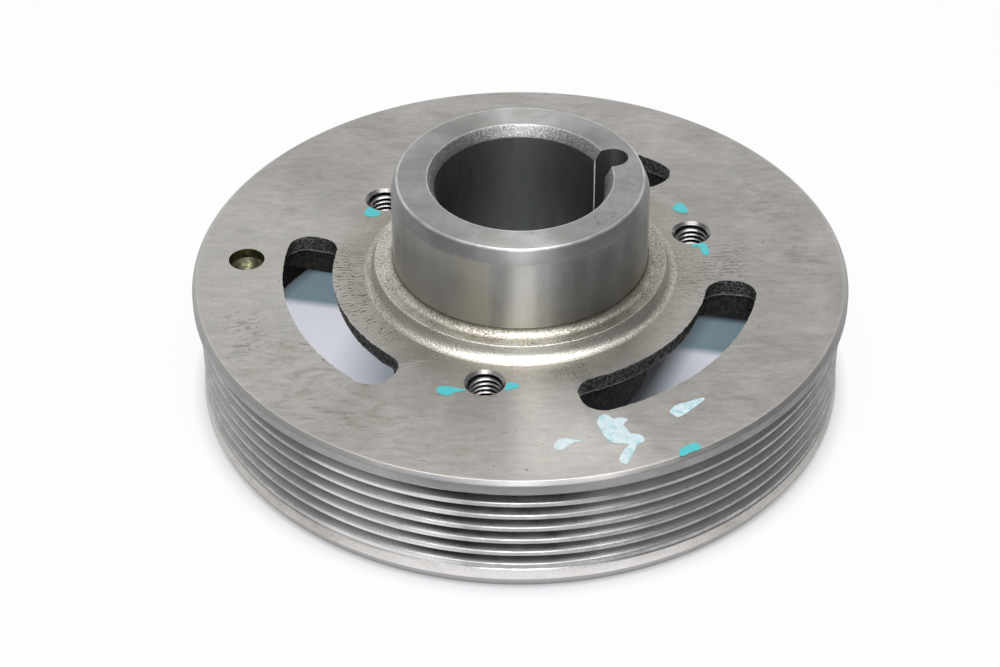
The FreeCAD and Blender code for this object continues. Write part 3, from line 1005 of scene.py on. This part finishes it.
def threadTree(values):
    nodes, given = startTree("cutThread", values)
    length = nodes.times(given["Pitch"], given["Turns"])
    radius = given["Hole radius"]
    helix = nodes.add("GeometryNodeCurveSpiral", {
        "Resolution": threadCut["stepsPerTurn"], "Rotations": given["Turns"],
        "Start Radius": radius, "End Radius": radius, "Height": length})
    # the last turns at the top run out
    along = nodes.add("GeometryNodeSplineParameter").outputs["Factor"]
    runOut = nodes.spread(along, threadCut["runOut"], 1.0, 1.0, threadCut["left"])
    upright = nodes.add("GeometryNodeSetCurveNormal", {"Curve": helix}, mode="Z_UP")
    tapered = nodes.add("GeometryNodeSetCurveRadius", {"Curve": upright, "Radius": runOut})
    ridge = nodes.add("GeometryNodeCurvePrimitiveQuadrilateral", {
        "Bottom Width": nodes.times(given["Pitch"], threadCut["foot"]),
        "Top Width": nodes.times(given["Pitch"], threadCut["crest"]),
        "Height": given["Depth"], "Offset": 0.0}, mode="TRAPEZOID")
    # the broad side lies in the wall and the crest points at the hole's middle
    shift = nodes.add("ShaderNodeCombineXYZ", {"X": nodes.times(given["Depth"], threadCut["inwards"])})
    quarter = (0, 0, math.radians(-90))
    profile = nodes.add("GeometryNodeTransform", {"Geometry": ridge, "Rotation": quarter, "Translation": shift})
    swept = nodes.add("GeometryNodeCurveToMesh", {
        "Curve": tapered, "Profile Curve": profile, "Scale": runOut, "Fill Caps": True})
    start = nodes.add("ShaderNodeCombineXYZ", {"Z": nodes.calc("SUBTRACT", given["Top"], length)})
    places = nodes.add("GeometryNodeMeshCircle", {"Vertices": given["Holes"], "Radius": given["Hole circle"]})
    spin = nodes.add("ShaderNodeCombineXYZ", {"Z": given["First angle"]})
    turned = nodes.add("GeometryNodeTransform", {"Geometry": places, "Rotation": spin, "Translation": start})
    each = nodes.add("GeometryNodeInstanceOnPoints", {"Points": turned, "Instance": swept})
    return endTree(nodes, each, given["Finish"])


def makeThreads():
    holder = makeObject("threadSeed", bpy.data.meshes.new("threadSeed"))
    top = faceZ - (taps["sink"] - taps["major"]) - threadCut["sunk"]
    depth = taps["major"] - taps["minor"] + threadCut["extraDepth"]
    values = {"Hole radius": taps["major"] * mm, "Pitch": taps["pitch"] * mm, "Turns": threadCut["turns"],
              "Depth": depth * mm, "Holes": taps["count"], "Hole circle": taps["circle"] * mm,
              "First angle": math.radians(taps["firstAngle"]), "Top": top * mm, "Finish": finishes["threadIron"]}
    mesh = runTree(holder, threadTree(values), values)
    dropObject(holder)
    recalcNormals(mesh)
    smoothMesh(mesh, threadCut["sharpAngle"])
    mesh.name = "tappedThreads"
    return mesh


threads = makeObject("tappedThreads", makeThreads())
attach(threads, "root")
print("threads cut:", len(threads.data.polygons), "faces")


# Dabs of marking paint, bare brush marks

paint = {
    "thickness": 0.05, "edge": 0.22, "step": 4, "gloss": 0.42, "worn": (0.13, 0.52, 0.56),
    "turquoise": (0.07, 0.53, 0.57), "turquoiseThin": (0.085, 0.53, 0.56),
    "pale": (0.76, 0.85, 0.89), "paleThin": (0.56, 0.70, 0.74),
    "noise": {"worn": (0.52, 0.66, 2.2, 4.0, 0.7, None, 11.0)},
}
turquoiseDabs = [
    [(34.7, -66.6), (35.6, -65.4), (37.0, -64.4), (38.3, -63.9), (39.3, -64.6), (39.3, -65.9), (38.4, -66.6),
     (37.3, -66.9), (35.9, -68.1), (34.8, -68.4)],
    [(-18.8, -45.6), (-18.3, -44.5), (-17.1, -44.2), (-15.8, -44.4), (-14.4, -44.9), (-13.1, -45.3), (-12.2, -45.5),
     (-12.4, -46.0), (-13.7, -46.3), (-15.1, -46.9), (-16.0, -47.6), (-17.1, -47.4), (-18.2, -46.8)],
    [(-3.5, -45.2), (-3.1, -43.7), (-2.6, -42.9), (-1.7, -43.0), (-0.5, -43.6), (-0.1, -44.3), (-0.9, -45.0),
     (-2.0, -45.3), (-2.8, -45.7), (-3.3, -45.8)],
    [(-38.0, 22.9), (-37.5, 24.2), (-36.9, 25.0), (-36.0, 24.5), (-35.0, 23.8), (-34.2, 23.5), (-33.9, 22.5),
     (-34.6, 21.2), (-35.8, 21.0), (-37.1, 21.2), (-37.9, 21.8)],
    [(37.3, 25.3), (37.9, 26.3), (38.9, 26.9), (39.9, 26.3), (40.5, 24.8), (41.0, 23.6), (40.4, 22.7), (39.2, 22.7),
     (38.0, 23.4), (37.3, 24.2)],
    [(41.1, 9.6), (42.0, 9.8), (43.1, 10.1), (44.1, 10.3), (44.7, 9.0), (45.1, 7.2), (44.9, 5.6), (44.0, 5.3),
     (43.3, 6.4), (43.1, 7.9), (42.5, 8.8), (41.8, 8.7), (41.3, 8.4)],
]
paleDabs = [
    [(16.9, -56.6), (17.6, -54.9), (18.5, -54.2), (19.6, -54.6), (20.4, -55.6), (21.3, -55.4), (22.4, -55.3),
     (23.7, -56.0), (22.6, -57.7), (21.2, -59.0), (20.3, -60.4), (20.9, -61.1), (22.9, -61.1), (24.7, -60.8),
     (26.2, -61.1), (27.2, -62.5), (26.8, -63.8), (25.6, -64.5), (24.9, -66.5), (24.0, -68.9), (23.2, -70.9),
     (22.4, -70.9), (21.5, -69.9), (21.8, -68.2), (22.7, -66.2), (23.7, -64.5), (22.6, -64.2), (20.8, -64.1),
     (19.3, -63.1), (18.3, -61.4), (17.7, -59.4), (17.1, -58.0)],
    [(7.3, -65.1), (7.7, -63.7), (8.6, -62.7), (9.9, -62.4), (11.5, -62.7), (13.7, -63.1), (11.9, -63.8),
     (10.6, -64.8), (9.5, -66.1), (8.6, -66.4), (7.7, -66.1)],
    [(33.1, -53.2), (34.1, -51.5), (35.5, -50.5), (37.3, -49.8), (39.1, -48.9), (40.7, -48.4), (41.0, -49.1),
     (39.2, -51.2), (37.6, -52.9), (36.0, -54.5), (34.8, -55.2), (33.8, -54.3)],
]


def smoothLoop(points):
    # a closed curve through the points
    curved = []
    count = len(points)
    for index in range(count):
        a, b, c, d = (Vector(points[(index + shift) % count]) for shift in (-1, 0, 1, 2))
        for step in range(paint["step"]):
            t = step / paint["step"]
            curved.append(0.5 * ((2 * b) + (c - a) * t + (2 * a - 5 * b + 4 * c - d) * t * t
                                 + (3 * b - a - 3 * c + d) * t * t * t))
    return curved


def makeDabs(name, outlines):
    work = bmesh.new()
    for outline in outlines:
        curved = smoothLoop(outline)
        area = sum(a.cross(b) for a, b in zip(curved, curved[1:] + curved[:1]))
        if area < 0:
            curved.reverse()
        ring = [work.verts.new((p.x * mm, p.y * mm, faceZ * mm)) for p in curved]
        filled = bmesh.ops.triangulate(work, faces=[work.faces.new(ring)])["faces"]
        bmesh.ops.inset_region(work, faces=filled, thickness=paint["edge"] * mm, depth=paint["thickness"] * mm,
                               use_even_offset=True)
    mesh = bpy.data.meshes.new(name)
    work.to_mesh(mesh)
    work.free()
    smoothMesh(mesh)
    return mesh


def makePaint(colour):
    dab = Finish(colour + "Paint", paint)
    streaks = dab.grain(0.9, 3.0, 0.6, (1.0, 2.5, 1.0))
    dab.colour = dab.mix(dab.spread(streaks, 0.35, 0.7), colour + "Thin", colour)
    dab.over("worn", dab.lumps("worn"), 0.6)
    dab.relief(streaks, 0.03)
    return dab.done(paint["gloss"], metallic=0.0)


for colour, outlines in (("turquoise", turquoiseDabs), ("pale", paleDabs)):
    name = colour + "Marks"
    marks = makeObject(name, makeDabs(name, outlines), [makePaint(colour)])
    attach(marks, "root")
print("paint dabbed on")


# Studio: white floor, soft lamps, camera at the photograph's angle

white = (1, 1, 1, 1)
studio = {
    "ambient": 0.25,
    # name, place, size and power
    "lamps": [("overhead", (0.0, -0.22, 1.0), (0.75, 0.70), 7.5),
              ("front", (0.0, -0.85, 0.72), (0.34, 0.40), 2.8)],
    "lampAim": (0, 0, 0.03), "floorHalf": 3.0, "floorColour": (0.82, 0.83, 0.88),
    # radii between which the shadow round the pulley fades to white
    "contact": (73.0, 80.0),
    # paper seen through the slots
    "slotLight": (0.68, 0.69, 0.76), "slotHalf": (0.30, 0.325, 0.37), "slotShade": (0.165, 0.235, 0.275),
    "slotDark": (0.012, 0.013, 0.015), "slotDim": (0.03, 0.032, 0.036),
    # how bright the tent is at the left and at the right, in the air and on the floor
    "dimAir": (0.55, 0.16), "dimFloor": (0.9, 0.7), "horizon": 0.5,
}
view = {"place": (0.0, -0.5234, 0.4208), "down": 37.96, "lens": 99.06, "shift": -0.0203}


def seenBy(nodes, *rays):
    paths = nodes.add("ShaderNodeLightPath").outputs
    seen = 0.0
    for ray in rays:
        seen = nodes.calc("MAXIMUM", paths[ray], seen)
    return seen


def tentGlow(nodes, across, along, dimmed, frontEdge):
    # the white tent as the metal sees it: bright in front and behind, dim at both sides
    flat = nodes.add("ShaderNodeCombineXYZ", {0: across, 1: along})
    flat = nodes.add("ShaderNodeVectorMath", {0: flat}, operation="NORMALIZE")
    parts = nodes.add("ShaderNodeSeparateXYZ", {0: flat}).outputs
    facing = nodes.calc("MAXIMUM", nodes.spread(parts[1], 0.25, 0.95), nodes.spread(parts[1], -frontEdge, -1.0))
    dim = nodes.spread(parts[0], -0.3, 0.3, *dimmed)
    return nodes.calc("ADD", dim, nodes.times(facing, nodes.calc("SUBTRACT", 1.0, dim)))


def makeFloor():
    mesh = bpy.data.meshes.new("floor")
    half = studio["floorHalf"]
    mesh.from_pydata([(-half, -half, 0), (half, -half, 0), (half, half, 0), (-half, half, 0)], [], [(0, 1, 2, 3)])
    paper = Finish("floorPaper", studio)
    radius = paper.radius
    across, along, _ = paper.add("ShaderNodeSeparateXYZ", {0: paper.place}).outputs
    outside = paper.times(paper.spread(radius, *studio["contact"]), 0.93)
    # light on the paper under the pulley: it falls through the slots from the front left
    slant = paper.calc("ADD", along, paper.times(across, 0.2))
    paper.colour = paper.mix(paper.spread(radius, 47.0, 33.0), "slotLight", "slotHalf")
    paper.over("slotShade", paper.spread(slant, 16.2, 19.2))
    paper.over("slotDark", paper.spread(slant, 30.2, 32.8))
    paper.over("slotShade", paper.spread(radius, 34.0, 26.0))
    # the hub's wall shades the paper under the right slot
    beside = paper.calc("SUBTRACT", across, paper.times(along, 0.42))
    paper.over("slotDim", paper.times(paper.spread(beside, 39.5, 32.5), paper.spread(across, 10.0, 20.0)))
    inside = paper.times(paper.spread(radius, 66.0, 70.0, 1.0, 0.0), 0.85)
    camera, mirror = seenBy(paper, "Is Camera Ray"), seenBy(paper, "Is Glossy Ray")
    tent = tentGlow(paper, across, along, studio["dimFloor"], 0.25)
    shown = paper.add("ShaderNodeBsdfDiffuse", {"Color": (*studio["floorColour"], 1.0)})
    # under the pulley the camera sees the painted light and shade of the paper as a glow; outside it plain white
    for where, ray, colour, strength in (
            (outside, camera, white, 1.0), (inside, camera, paper.colour, 1.0), (outside, mirror, white, tent)):
        light = paper.add("ShaderNodeEmission", {"Color": colour, "Strength": strength})
        shown = paper.add("ShaderNodeMixShader", {0: paper.times(where, ray), 1: shown, 2: light})
    paper.add("ShaderNodeOutputMaterial", {"Surface": shown})
    return makeObject("floor", mesh, [paper.material])


def makeLamp(name, place, size, power):
    lamp = bpy.data.lights.new(name, "AREA")
    lamp.shape = "RECTANGLE"
    lamp.size, lamp.size_y = size
    lamp.energy = power
    thing = makeObject(name, lamp)
    thing.location = place
    thing.rotation_euler = (Vector(studio["lampAim"]) - Vector(place)).to_track_quat("-Z", "Y").to_euler()
    thing.visible_camera = False


def makeWorld():
    world = bpy.data.worlds.new("tent")
    scene.world = world
    world.use_nodes = True
    world.node_tree.nodes.clear()
    sky = Nodes(world.node_tree)
    towards = sky.add("ShaderNodeTexCoord").outputs["Generated"]
    across, along, up = sky.add("ShaderNodeSeparateXYZ", {0: towards}).outputs
    # dimmer low in front, bright straight above
    low = sky.times(sky.spread(up, 0.55, 0.2), sky.spread(along, 0.1, -0.4))
    glow = tentGlow(sky, across, along, studio["dimAir"], 0.72)
    glow = sky.times(glow, sky.spread(low, 0.0, 1.0, 1.0, studio["horizon"]))
    glow = sky.calc("MAXIMUM", glow, sky.spread(up, 0.7, 0.95))
    strength = sky.calc("MAXIMUM", sky.times(seenBy(sky, "Is Glossy Ray"), glow),
                        seenBy(sky, "Is Camera Ray", "Is Transmission Ray"))
    strength = sky.calc("MAXIMUM", strength, studio["ambient"])
    light = sky.add("ShaderNodeBackground", {"Color": white, "Strength": strength})
    sky.add("ShaderNodeOutputWorld", {"Surface": light})


floor = makeFloor()
makeWorld()
for name, place, size, power in studio["lamps"]:
    makeLamp(name, place, size, power)
camera = bpy.data.cameras.new("camera")
camera.lens = view["lens"]
camera.sensor_width = 36.0
camera.shift_x = view["shift"]
camera.clip_start, camera.clip_end = 0.01, 20.0
eye = makeObject("camera", camera)
eye.location = view["place"]
eye.rotation_euler = (math.radians(90 - view["down"]), 0, 0)
scene.camera = eye
scene.view_settings.view_transform = "Standard"
print("studio ready")
